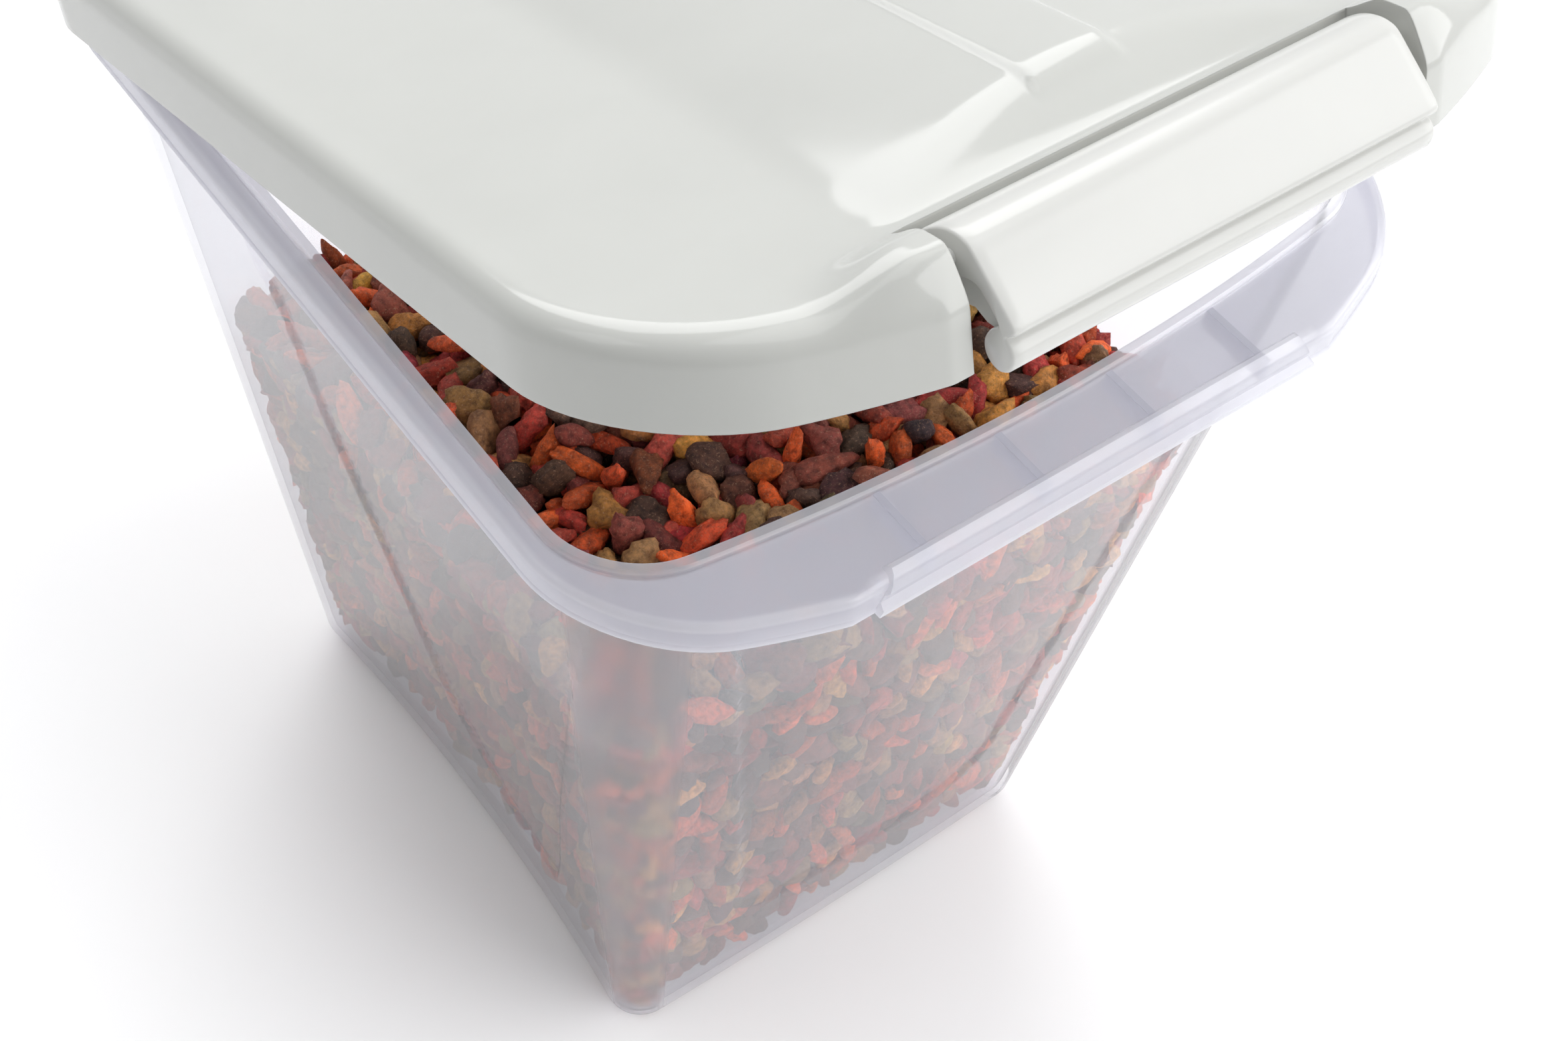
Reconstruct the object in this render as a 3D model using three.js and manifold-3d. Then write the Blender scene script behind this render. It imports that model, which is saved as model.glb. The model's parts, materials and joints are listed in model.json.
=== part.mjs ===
// Feed storage bin: a tapered translucent tub with a hinged lid, a snap latch and its feed.
// Millimetres, +Z up. The origin is the middle of the underside, the front faces -Y.

import * as THREE from 'three';
import Module from 'manifold-3d';
import { mergeVertices, toCreasedNormals } from 'three/addons/utils/BufferGeometryUtils.js';

const wasm = await Module();
wasm.setup();

// ---- driving dimensions -------------------------------------------------------------------

const WALL = 2.2;                 // tub wall thickness
const FLOOR = 2.6;                // tub floor thickness
const FOOT_RADIUS = 6;            // rounding between the floor and the walls

const RIM_BOTTOM = 274;           // lower edge of the rim's skirt
const FLANGE_TOP = 282;           // upper face of the rim flange
const FLANGE = 2.2;               // flange thickness
const SKIRT = 2;                  // skirt thickness, on the rim and on the lid
const LIP_TOP = 283.5;            // top of the bead around the mouth
const LIP_WIDTH = 3;

const CATCH_HALF = 63;            // half length of the catch rail at its foot
const CATCH_TOP_HALF = 57.5;      // half length of the catch rail at its ridge
const CATCH_Y = -151.7;           // front of the catch rail

const HINGE_Y = 121;              // lid hinge axis
const HINGE_Z = 279;
const HINGE_X = 70;               // middle of each hinge
const PIN_RADIUS = 1.9;
const BORE_RADIUS = 2.05;
const EYE_RADIUS = 4.4;           // hinge eyes around the pins
const EAR_OFFSET = 10;            // ear to the middle of its hinge
const EAR_HALF = 2;               // half thickness of an ear

const LID_AJAR = 16.7;            // degrees that the lid stands open at rest
const LID_BOTTOM = 269.3;         // lid heights are for the closed lid
const LID_TOP = 289;
const LID_EDGE = 6;               // rounding of the lid's top edge
const BACK_SKIRT_BOTTOM = 271.5;  // shorter at the back, where the skirt swings past the rim
const PANEL_STEP = 0.8;           // height of the raised panel on the lid
const CROWN_HALF = 56;            // half width of the lid's crown
const CROWN_RISE = 6.5;

const NOTCH_HALF = 57.8;          // half width of the notch for the latch
const NOTCH_FRONT = -168.4;
const NOTCH_BACK = -147.2;
const LATCH_HALF = 54;            // half length of the latch
const LATCH_Y = -158.9;           // latch pivot, closed lid
const LATCH_Z = 288.5;
const ROD_RADIUS = 1.5;
const ROD_BORE = 1.65;
const ROD_HALF = 66;
const BOSS_RADIUS = 6.3;

const RIB_BOTTOM = 276.4;         // lower edge of the ribs under the front flange
const RECESS = 0.9;               // depth of the panels sunk into the tub walls
const GAP = 0.3;                  // gap between neighbouring pieces

const SEAL_WIDTH = 3;             // width of the lid's seal

const CORNER_STEPS = 8;           // facets in each rounded corner
const EDGE_STEPS = 8;             // facets along each bowed side
const ROUND_STEPS = 24;           // facets of a pin or bore

// ---- outlines seen from above --------------------------------------------------------------

const RIM = { half: 117.5, front: -129.3, back: 110.5, frontRadius: 26.4, backRadius: 25, bow: 31, sag: 0 };
const MOUTH = { half: 109.8, front: -118.8, back: 104.8, frontRadius: 19, backRadius: 18, bow: 10, sag: 0 };
const FOOT = { half: 79, front: -93.8, back: 93.8, frontRadius: 12, backRadius: 12, bow: 1, sag: 6 };
const LID = { half: 120.5, front: -143.2, back: 118.7, frontRadius: 31, backRadius: 27, bow: 34.4, sag: 0 };
const PANEL = { half: 109.5, front: -135.5, back: 105, frontRadius: 20, backRadius: 20, bow: 3.4, sag: 0 };
const SEAL = { half: 113.2, front: -122.2, back: 108, frontRadius: 22, backRadius: 21, bow: 10, sag: 0 };

/** Blend between two outlines: 0 gives the first, 1 the second. */
function mix(a, b, t) {
  const result = {};
  for (const key of Object.keys(a)) result[key] = a[key] + (b[key] - a[key]) * t;
  return result;
}

/** The same outline moved inwards by a distance. */
function inset(o, distance) {
  return {
    ...o,
    half: o.half - distance,
    front: o.front + distance,
    back: o.back - distance,
    frontRadius: Math.max(o.frontRadius - distance, 1),
    backRadius: Math.max(o.backRadius - distance, 1),
  };
}

/** Points of a rounded rectangle, counter-clockwise, whose front bows out and whose sides draw in. */
function ring(o, z) {
  const corners = [
    { x: o.half - o.frontRadius, y: o.front + o.frontRadius, r: o.frontRadius, start: -0.5 },
    { x: o.half - o.backRadius, y: o.back - o.backRadius, r: o.backRadius, start: 0 },
    { x: -o.half + o.backRadius, y: o.back - o.backRadius, r: o.backRadius, start: 0.5 },
    { x: -o.half + o.frontRadius, y: o.front + o.frontRadius, r: o.frontRadius, start: 1 },
  ];
  const plain = [];
  for (const corner of corners) {
    for (let i = 0; i <= CORNER_STEPS; i += 1) {
      const angle = Math.PI * (corner.start + 0.5 * i / CORNER_STEPS);
      plain.push([corner.x + corner.r * Math.cos(angle), corner.y + corner.r * Math.sin(angle)]);
    }
  }
  const points = [];
  plain.forEach((point, index) => {
    points.push(point);
    if (index % (CORNER_STEPS + 1) !== CORNER_STEPS) return;
    const next = plain[(index + 1) % plain.length];
    for (let i = 1; i < EDGE_STEPS; i += 1) {
      const t = i / EDGE_STEPS;
      points.push([point[0] + (next[0] - point[0]) * t, point[1] + (next[1] - point[1]) * t]);
    }
  });
  const middle = (o.front + o.back) / 2;
  const reach = (o.back - o.front) / 2;
  return points.map(([x, y]) => {
    const bow = y < 0 ? o.bow * (1 - (x / o.half) ** 2) : 0;
    const sag = o.sag * (1 - ((y - middle) / reach) ** 2) * (x / o.half);
    return [x - sag, y - bow, z];
  });
}

// ---- solids --------------------------------------------------------------------------------

/** Closed geometry through a stack of rings with equal point counts. */
function loft(rings) {
  const count = rings[0].length;
  const positions = rings.flat(2);
  const indices = [];
  for (let level = 0; level < rings.length - 1; level += 1) {
    for (let i = 0; i < count; i += 1) {
      const a = level * count + i;
      const b = level * count + (i + 1) % count;
      indices.push(a, b, b + count, a, b + count, a + count);
    }
  }
  const flat = (points) => points.map(([x, y]) => new THREE.Vector2(x, y));
  const top = (rings.length - 1) * count;
  for (const [a, b, c] of THREE.ShapeUtils.triangulateShape(flat(rings[0]), [])) indices.push(a, c, b);
  for (const [a, b, c] of THREE.ShapeUtils.triangulateShape(flat(rings.at(-1)), [])) {
    indices.push(top + a, top + b, top + c);
  }
  const geometry = new THREE.BufferGeometry();
  geometry.setAttribute('position', new THREE.Float32BufferAttribute(positions, 3));
  geometry.setIndex(indices);
  return geometry;
}

/** Turn a three.js geometry into a solid for cutting and joining. */
function solid(geometry) {
  const bare = geometry.clone();
  for (const name of ['normal', 'uv']) bare.deleteAttribute(name);
  const merged = mergeVertices(bare, 1e-4);
  return new wasm.Manifold(new wasm.Mesh({
    numProp: 3,
    vertProperties: new Float32Array(merged.attributes.position.array),
    triVerts: new Uint32Array(merged.index.array),
  }));
}

/** Turn a solid back into a three.js geometry. */
function geometryOf(body) {
  const mesh = body.simplify(0.01).getMesh();
  const geometry = new THREE.BufferGeometry();
  geometry.setAttribute('position', new THREE.Float32BufferAttribute(mesh.vertProperties, 3));
  geometry.setIndex(new THREE.Uint32BufferAttribute(mesh.triVerts, 1));
  return geometry;
}

const join = (...bodies) => bodies.reduce((all, body) => all.add(body));
const cut = (body, ...tools) => tools.reduce((rest, tool) => rest.subtract(tool), body);

/** Closed geometry through a stack of YZ rings, from low X to high X. */
function loftX(rings) {
  const geometry = loft(rings.map((ring3) => ring3.map(([x, y, z]) => [y, z, x])));
  const matrix = new THREE.Matrix4().set(0, 0, 1, 0, 1, 0, 0, 0, 0, 1, 0, 0, 0, 0, 0, 1);
  return geometry.applyMatrix4(matrix);
}

/** A box between two corners. */
function box(x0, y0, z0, x1, y1, z1) {
  const geometry = new THREE.BoxGeometry(x1 - x0, y1 - y0, z1 - z0);
  return solid(geometry.translate((x0 + x1) / 2, (y0 + y1) / 2, (z0 + z1) / 2));
}

/** A YZ profile, given as [y, z] points or a shape, drawn out along X between two stations. */
function alongX(profile, x0, x1) {
  const shape = profile instanceof THREE.Shape
    ? profile
    : new THREE.Shape(profile.map(([y, z]) => new THREE.Vector2(y, z)));
  const geometry = new THREE.ExtrudeGeometry(shape, {
    depth: x1 - x0, bevelEnabled: false, curveSegments: ROUND_STEPS / 2,
  });
  geometry.applyMatrix4(new THREE.Matrix4().set(
    0, 0, 1, x0,
    1, 0, 0, 0,
    0, 1, 0, 0,
    0, 0, 0, 1,
  ));
  return solid(geometry);
}

/** An XZ profile drawn out along Y between two stations. */
function alongY(points, y0, y1) {
  const shape = new THREE.Shape(points.map(([x, z]) => new THREE.Vector2(x, z)));
  const geometry = new THREE.ExtrudeGeometry(shape, { depth: y1 - y0, bevelEnabled: false });
  geometry.applyMatrix4(new THREE.Matrix4().set(
    1, 0, 0, 0,
    0, 0, -1, y1,
    0, 1, 0, 0,
    0, 0, 0, 1,
  ));
  return solid(geometry);
}

/** A cylinder along X about a YZ centre. */
function rod(radius, y, z, x0, x1) {
  const geometry = new THREE.CylinderGeometry(radius, radius, x1 - x0, ROUND_STEPS);
  return solid(geometry.rotateZ(Math.PI / 2).translate((x0 + x1) / 2, y, z));
}

/** Steps of a quarter round: how far in and how far up, for a radius. */
function quarter(radius, steps) {
  const result = [];
  for (let i = 0; i <= steps; i += 1) {
    const angle = 0.5 * Math.PI * i / steps;
    result.push([radius * (1 - Math.cos(angle)), radius * Math.sin(angle)]);
  }
  return result;
}

// ---- tub -----------------------------------------------------------------------------------

/** Outside of the tub wall at a height. */
function wallAt(z) {
  return mix(FOOT, inset(MOUTH, -WALL), z / FLANGE_TOP);
}

/** The tapered body of the tub, set in by a distance, from a floor level to a top level. */
function tubBody(distance, floor, top, footRadius) {
  const rings = [];
  for (const [inwards, up] of quarter(footRadius, 4)) {
    const z = floor + footRadius - up;
    rings.unshift(ring(inset(wallAt(z), distance + inwards), z));
  }
  for (const t of [0.25, 0.5, 0.75, 1]) {
    const z = floor + footRadius + (top - floor - footRadius) * t;
    rings.push(ring(inset(wallAt(z), distance), z));
  }
  return solid(loft(rings));
}

/** Ring of the rim, whose bowed front ends at a straight chord behind the catch rail. */
function rimRing(distance, z) {
  const chord = CATCH_Y + 2 + distance;
  return ring(inset(RIM, distance), z).map(([x, y]) => [x, Math.max(y, chord), z]);
}

/** Flange with its outer skirt and rounded edge, and the bead around the mouth. */
function rimSolid() {
  const round = 2.4;
  const outer = [rimRing(0, RIM_BOTTOM)];
  for (const [inwards, up] of quarter(round, 3)) {
    outer.push(rimRing(inwards, FLANGE_TOP - round + up));
  }
  const hollow = [
    rimRing(SKIRT, RIM_BOTTOM - 1),
    rimRing(SKIRT, FLANGE_TOP - FLANGE),
  ];
  const bead = [
    ring(inset(MOUTH, -LIP_WIDTH), FLANGE_TOP - FLANGE),
    ring(inset(MOUTH, -LIP_WIDTH), LIP_TOP - 0.8),
    ring(inset(MOUTH, -LIP_WIDTH + 0.8), LIP_TOP),
  ];
  return join(cut(solid(loft(outer)), solid(loft(hollow))), solid(loft(bead)));
}

/** Rail across the front of the rim that the latch snaps under. */
function catchRail() {
  const profile = [
    [-146.5, RIM_BOTTOM + 5], [-149.2, RIM_BOTTOM + 1.8], [-149.4, RIM_BOTTOM],
    [CATCH_Y, RIM_BOTTOM], [CATCH_Y, RIM_BOTTOM + 1.6], [-150, RIM_BOTTOM + 2.6],
    [-150, RIM_BOTTOM + 4.4], [-150.9, RIM_BOTTOM + 5.4], [-150.4, RIM_BOTTOM + 7.2],
    [-149.2, RIM_BOTTOM + 8.9], [-148, RIM_BOTTOM + 9.6], [-146.8, RIM_BOTTOM + 9.3],
    [-145.8, RIM_BOTTOM + 8], [-144.6, RIM_BOTTOM + 7.2],
  ].reverse();
  const rail = alongX(profile, -CATCH_HALF, CATCH_HALF);
  const ends = alongY([
    [-CATCH_HALF, RIM_BOTTOM], [CATCH_HALF, RIM_BOTTOM],
    [CATCH_TOP_HALF, RIM_BOTTOM + 11], [-CATCH_TOP_HALF, RIM_BOTTOM + 11],
  ], -160, -140);
  return rail.intersect(ends);
}

/** Shallow ribs under the front of the flange, from the wall to the catch rail. */
function gussets() {
  const profile = [
    [-124, RIB_BOTTOM], [-124, FLANGE_TOP - 1], [-149, FLANGE_TOP - 1], [-149, RIB_BOTTOM],
  ];
  return join(...[-48, -16, 16, 48].map((x) => alongX(profile, x - 0.8, x + 0.8)));
}

/** Hinge ears on the back of the rim, two to each hinge. */
function hingeEars() {
  const ears = [];
  for (const side of [-1, 1]) {
    for (const offset of [-EAR_OFFSET, EAR_OFFSET]) {
      const x = side * HINGE_X + offset;
      const web = alongX([
        [109.2, RIM_BOTTOM], [HINGE_Y, HINGE_Z - EYE_RADIUS],
        [HINGE_Y, HINGE_Z + EYE_RADIUS - 0.4], [109.2, FLANGE_TOP - 1.2],
      ], x - EAR_HALF, x + EAR_HALF);
      ears.push(join(web, rod(EYE_RADIUS, HINGE_Y, HINGE_Z, x - EAR_HALF, x + EAR_HALF)));
    }
  }
  return cut(join(...ears), ...hingeBores());
}

/** Bores for both hinge pins. */
function hingeBores() {
  const reach = EAR_OFFSET + EAR_HALF + 1;
  return [-1, 1].map((side) => (
    rod(BORE_RADIUS, HINGE_Y, HINGE_Z, side * HINGE_X - reach, side * HINGE_X + reach)
  ));
}

/** Layer from just outside the tub to a depth below its surface. */
function tubSkin(depth) {
  return cut(
    tubBody(-1, 0, FLANGE_TOP - 0.5, FOOT_RADIUS),
    tubBody(depth, 0, FLANGE_TOP - 0.5, FOOT_RADIUS),
  );
}

/** Panels sunk into the side and front walls. */
function recesses() {
  const side = alongX([
    [-114, 276], [-107, 249], [-93, 191], [-82, 148], [-73, 111], [-64, 66], [-58, 46],
    [-48, 46], [-30, 52], [-13, 73], [-3, 90], [10, 145], [23, 191], [28, 229], [42, 276],
  ], -130, 130);
  const corner = [];
  for (let i = 0; i <= 6; i += 1) {
    const angle = 0.5 * Math.PI * i / 6;
    corner.push([24 + 24 * Math.sin(angle), 72 - 24 * Math.cos(angle)]);
  }
  const right = [...corner, [52, 100], [63, 169], [74, 240], [79, 276]];
  const left = right.map(([x, z]) => [-x, z]).reverse();
  const front = alongY([...right, ...left], -150, -60);
  const skin = tubSkin(RECESS);
  return join(skin.intersect(side), skin.intersect(front));
}

function makeTub() {
  const outside = tubBody(0, 0, FLANGE_TOP - 0.5, FOOT_RADIUS);
  const inside = tubBody(WALL, FLOOR, FLANGE_TOP + 4, FOOT_RADIUS - WALL);
  const body = join(cut(outside, recesses()), rimSolid(), catchRail(), gussets());
  return join(cut(body, inside), hingeEars());
}

/** Dry feed, as one body that fills the tub to an uneven level. */
function makeFeed() {
  const fill = tubBody(WALL + GAP, FLOOR + GAP, FLANGE_TOP, FOOT_RADIUS - WALL);
  const above = alongX([
    [-150, 186], [-150, 290], [140, 290], [140, 160], [95, 163], [60, 174], [0, 187], [-80, 190],
  ].reverse(), -130, 130);
  return cut(fill, above);
}

// ---- lid, drawn closed ---------------------------------------------------------------------

/** Ring of the lid, whose bowed front ends at a straight chord. */
function lidRing(distance, z) {
  const chord = NOTCH_FRONT + distance;
  return ring(inset(LID, distance), z).map(([x, y]) => [x, Math.max(y, chord), z]);
}

/** Outside of the lid without its crown, as a full block. */
function lidBlock() {
  const rings = [lidRing(0, LID_BOTTOM)];
  for (const [inwards, up] of quarter(LID_EDGE, 5)) {
    rings.push(lidRing(inwards, LID_TOP - LID_EDGE + up));
  }
  return solid(loft(rings));
}

/** Hollow under the lid. */
function lidHollow() {
  const edge = LID_EDGE - SKIRT;
  const rings = [lidRing(SKIRT, LID_BOTTOM - 1)];
  for (const [inwards, up] of quarter(edge, 3)) {
    rings.push(lidRing(SKIRT + inwards, LID_TOP - SKIRT - edge + up));
  }
  return solid(loft(rings));
}

/** Arched crown along Y with sloping front and back faces. */
function crown(half, rise, base, front, back, run) {
  const arch = [[-half, base - 1.2], [half, base - 1.2]];
  const steps = 24;
  for (let i = 0; i <= steps; i += 1) {
    const x = half * (1 - 2 * i / steps);
    arch.push([x, base + rise * (1 - (x / half) ** 2)]);
  }
  const slopes = alongX([
    [front - 1, base - 2], [back + 1, base - 2], [back, base], [back - run, base + rise],
    [front + run, base + rise], [front, base],
  ], -half - 1, half + 1);
  return alongY(arch, front - 1, back + 1).intersect(slopes);
}

/** Boss at one end of the latch rod, ramped back onto the lid. */
function boss(side) {
  const profile = [[-144, LID_TOP - 2.6]];
  for (let i = 0; i <= 14; i += 1) {
    const angle = Math.PI * (0.28 + 1.3 * i / 14);
    profile.push([LATCH_Y + BOSS_RADIUS * Math.cos(angle), LATCH_Z + BOSS_RADIUS * Math.sin(angle)]);
  }
  const centre = [LATCH_Y, LATCH_Z];
  const sections = [[NOTCH_HALF, 1], [64, 1], [67, 0.92], [69, 0.76], [70.4, 0.5]];
  const rings = sections.map(([x, scale]) => profile.map(([y, z]) => [
    x, centre[0] + (y - centre[0]) * scale, centre[1] + (z - centre[1]) * scale,
  ]));
  return solid(loftX(rings)).transform([side, 0, 0, 0, 0, 1, 0, 0, 0, 0, 1, 0, 0, 0, 0, 1]);
}

/** Knuckles on the back of the lid that turn on the hinge pins. */
function knuckles() {
  const half = EAR_OFFSET - EAR_HALF - 0.4;
  return [-1, 1].map((side) => (
    rod(EYE_RADIUS - 0.2, HINGE_Y, HINGE_Z, side * HINGE_X - half, side * HINGE_X + half)
  ));
}

/** Slots in the back skirt that clear the tub's hinge ears. */
function earSlots() {
  const slots = [];
  for (const side of [-1, 1]) {
    for (const offset of [-EAR_OFFSET, EAR_OFFSET]) {
      const x = side * HINGE_X + offset;
      const half = EAR_HALF + 0.4;
      slots.push(box(x - half, 108, LID_BOTTOM - 5, x + half, 130, HINGE_Z + EYE_RADIUS + 0.8));
    }
  }
  return slots;
}

function makeLid() {
  const block = lidBlock();
  const top = LID_TOP + PANEL_STEP;
  const panel = solid(loft([
    ring(PANEL, LID_TOP - 1), ring(PANEL, LID_TOP), ring(inset(PANEL, 1.2), top),
  ]));
  const outerCrown = crown(CROWN_HALF, CROWN_RISE, top, -143.4, 95, 16);
  const innerCrown = crown(CROWN_HALF - 5, CROWN_RISE - 0.6, top - 2, -138.6, 90, 15);
  let shell = cut(join(block, panel, outerCrown), lidHollow(), innerCrown);
  shell = cut(shell, box(-NOTCH_HALF, -200, 250, NOTCH_HALF, NOTCH_BACK, 310));
  const edge = NOTCH_HALF + 2;
  const frame = join(
    box(-edge, -180, LID_BOTTOM, -NOTCH_HALF, -152.4, LID_TOP - 1),
    box(NOTCH_HALF, -180, LID_BOTTOM, edge, -152.4, LID_TOP - 1),
    box(-edge, -153, LID_TOP - 4, -NOTCH_HALF, -145.2, LID_TOP - 1),
    box(NOTCH_HALF, -153, LID_TOP - 4, edge, -145.2, LID_TOP - 1),
    box(-edge, NOTCH_BACK, LID_TOP - 4, edge, -145.2, LID_TOP - 1),
    box(-edge + 0.4, -145.6, FLANGE_TOP + 0.7, edge - 0.4, -143.4, LID_TOP - 1.3),
  ).intersect(block);
  shell = join(shell, frame, boss(-1), boss(1), ...knuckles());
  const rodBore = rod(ROD_BORE, LATCH_Y, LATCH_Z, -ROD_HALF - GAP, ROD_HALF + GAP);
  const trim = box(-130, 100, 250, 130, 130, BACK_SKIRT_BOTTOM);
  return cut(shell, rodBore, trim, ...earSlots(), ...hingeBores());
}

/** Seal on the underside of the lid, above the bead around the mouth. */
function makeSeal() {
  const low = LIP_TOP + GAP;
  const high = LID_TOP - SKIRT - GAP;
  const outer = loft([ring(inset(SEAL, 0.7), low), ring(SEAL, low + 0.8), ring(SEAL, high)]);
  const inner = loft([ring(inset(SEAL, SEAL_WIDTH), low - 1), ring(inset(SEAL, SEAL_WIDTH), high + 1)]);
  return cut(solid(outer), solid(inner));
}

/** Latch flap with its rounded barrel, its outward sweep and the rolled bead that hooks the rail. */
function makeLatch() {
  const profile = [
    [10.2, -2.4], [7.4, 0.9], [4.3, 3.4], [1.8, 4.8], [-0.7, 5.3], [-3.2, 5], [-5.3, 4],
    [-8.4, 0.8], [-11, -2], [-13.6, -4.9], [-15.6, -7.3], [-16.2, -8.6], [-15.9, -9.8],
    [-14.7, -10.9], [-15.2, -12.6], [-15.4, -14.6], [-14.9, -16.8], [-13.7, -18.5],
    [-11.8, -19.3], [-9.8, -18.8], [-8.3, -17.4], [-7.7, -15.4], [-8.1, -13.2],
    [-9.6, -11.4], [-11.8, -10.2], [-12.3, -9.1], [-9.8, -6.2], [-7, -3.7], [-4.6, -3.3],
    [-2.4, -3.7], [0, -3.8], [2.4, -3.3], [4, -2.5], [5.6, -2.3], [7.4, -3.1], [9.2, -4],
  ].map(([y, z]) => [LATCH_Y + y, LATCH_Z + z]).reverse();
  const flap = alongX(profile, -LATCH_HALF, LATCH_HALF);
  return cut(flap, rod(ROD_BORE, LATCH_Y, LATCH_Z, -LATCH_HALF - 1, LATCH_HALF + 1));
}

// ---- assembly ------------------------------------------------------------------------------

const MATERIALS = {
  tub: { color: 0xd9dce2, roughness: 0.35, metalness: 0, transparent: true, opacity: 0.45 },
  lid: { color: 0xf1f1ec, roughness: 0.2, metalness: 0 },
  seal: { color: 0xd8d8d4, roughness: 0.75, metalness: 0 },
  pin: { color: 0xe4e4df, roughness: 0.35, metalness: 0 },
  feed: { color: 0xa4713f, roughness: 0.9, metalness: 0 },
};

/** Swing a piece of the closed lid to where it stands at rest. */
function ajar(geometry) {
  return geometry
    .translate(0, -HINGE_Y, -HINGE_Z)
    .rotateX(-THREE.MathUtils.degToRad(LID_AJAR))
    .translate(0, HINGE_Y, HINGE_Z);
}

function piece(name, geometry, material) {
  const mesh = new THREE.Mesh(
    toCreasedNormals(geometry, 0.5),
    new THREE.MeshStandardMaterial(MATERIALS[material]),
  );
  mesh.name = name;
  return mesh;
}

const hingePin = (side) => geometryOf(rod(
  PIN_RADIUS, HINGE_Y, HINGE_Z,
  side * HINGE_X - EAR_OFFSET - EAR_HALF, side * HINGE_X + EAR_OFFSET + EAR_HALF,
));

const group = new THREE.Group();
group.name = 'feed_storage_bin';
group.add(
  piece('bin', geometryOf(makeTub()), 'tub'),
  piece('feed', geometryOf(makeFeed()), 'feed'),
  piece('hinge_pin_left', hingePin(-1), 'pin'),
  piece('hinge_pin_right', hingePin(1), 'pin'),
  piece('lid', ajar(geometryOf(makeLid())), 'lid'),
  piece('lid_gasket', ajar(geometryOf(makeSeal())), 'seal'),
  piece('latch_rod', ajar(geometryOf(rod(ROD_RADIUS, LATCH_Y, LATCH_Z, -ROD_HALF, ROD_HALF))), 'pin'),
  piece('latch', ajar(geometryOf(makeLatch())), 'lid'),
);

export default group;
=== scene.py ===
"""Looks of the feed storage bin: translucent tub, glossy lid, snap latch and loose kibble.

Shapes are built in the frame of the CAD model. Profiles are in millimetres, as in the part's
source, and become metres when a mesh is made. The lid is drawn shut and the latch beside it, and
both are swung to the rest pose by the angle that the lid hinge's range gives.
"""
import json
import math

import bpy
import numpy as np
from mathutils import Matrix, Vector


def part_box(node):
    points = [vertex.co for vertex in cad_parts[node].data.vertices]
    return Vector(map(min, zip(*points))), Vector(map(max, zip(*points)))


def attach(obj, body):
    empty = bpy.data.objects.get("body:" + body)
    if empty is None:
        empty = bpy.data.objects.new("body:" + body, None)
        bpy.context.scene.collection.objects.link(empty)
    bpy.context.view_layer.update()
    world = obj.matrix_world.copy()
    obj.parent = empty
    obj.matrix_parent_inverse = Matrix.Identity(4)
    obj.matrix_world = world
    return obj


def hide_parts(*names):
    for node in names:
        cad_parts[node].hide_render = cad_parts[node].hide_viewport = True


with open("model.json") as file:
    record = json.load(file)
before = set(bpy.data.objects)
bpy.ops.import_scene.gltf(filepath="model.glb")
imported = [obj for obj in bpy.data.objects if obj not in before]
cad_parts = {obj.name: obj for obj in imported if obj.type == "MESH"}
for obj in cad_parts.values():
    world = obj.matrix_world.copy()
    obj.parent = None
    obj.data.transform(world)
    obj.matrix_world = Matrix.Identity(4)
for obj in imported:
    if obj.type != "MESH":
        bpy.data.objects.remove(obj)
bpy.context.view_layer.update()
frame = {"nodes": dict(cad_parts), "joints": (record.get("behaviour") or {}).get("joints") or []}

rng = np.random.default_rng(7)
MM = 0.001

# ---- driving dimensions, in millimetres ------------------------------------------------------

WALL = 2.2
FLOOR = 2.6
FOOT_RADIUS = 6
FLANGE_TOP = 282
FLANGE = 2.2
SKIRT = 2
LIP_TOP = 283.5
LIP_WIDTH = 3
CATCH_Y = -151.7
CATCH_HALF = 63
RIM_LOW = 273
RIB_X = (-48, -16, 16, 48)
RIB_HALF = 0.9
RIB_BOTTOM = 276.4
RIB_PROUD = 0.12
EAR_OFFSETS = (-10, 10)
EAR_HALF = 1.9

LID_BOTTOM = 269.3
LID_TOP = 289
LID_EDGE = 6
LID_THICKNESS = 2.2
NOTCH_HALF = 57.8
NOTCH_FRONT = -168.4
NOTCH_BACK = -147.2
LATCH_HALF = 54
LATCH_PIVOT = np.array([-158.9, 288.5])
CROWN_HALF = 57
CROWN_HEIGHT = 6.5
CROWN_FRONT = -143.4
CROWN_BACK = 96
CROWN_RUN = 15
TONGUE_HALF = 11.5
TONGUE_FRONT = -134
TONGUE_BACK = 70
TONGUE_HEIGHT = 0.8
BOSS_HEIGHT = 5.6
LID_MIDDLE = np.array([0.0, -15.0])
EYE_RADIUS = 4.4
KNUCKLE_RADIUS = 4.2
KNUCKLE_HALF = 7.6

joints = {j["name"]: j for j in frame["joints"]}
HINGE = np.array(joints["lid_hinge"]["pos_m"]) / MM
AJAR = math.radians(-joints["lid_hinge"]["range_deg"][0])
PIN_X = (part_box("hinge_pin_right")[0].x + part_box("hinge_pin_right")[1].x) / 2 / MM

# Outlines seen from above: half width, front and back edge, corner radii, how far the front bows
# out and how far the sides draw in.
RIM = dict(half=117.5, front=-129.3, back=110.5, r_front=26.4, r_back=25, bow=31, sag=0)
MOUTH = dict(half=109.8, front=-118.8, back=104.8, r_front=19, r_back=18, bow=10, sag=0)
FOOT = dict(half=79, front=-93.8, back=93.8, r_front=12, r_back=12, bow=1, sag=6)
LID = dict(half=120.5, front=-143.2, back=118.7, r_front=31, r_back=27, bow=34.4, sag=0)
PANEL = dict(half=109.5, front=-135.5, back=105, r_front=20, r_back=20, bow=3.4, sag=0)

# ---- outlines and meshes ---------------------------------------------------------------------


def mix(a, b, t):
    """Outline between two outlines."""
    return {key: a[key] + (b[key] - a[key]) * t for key in a}


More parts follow.
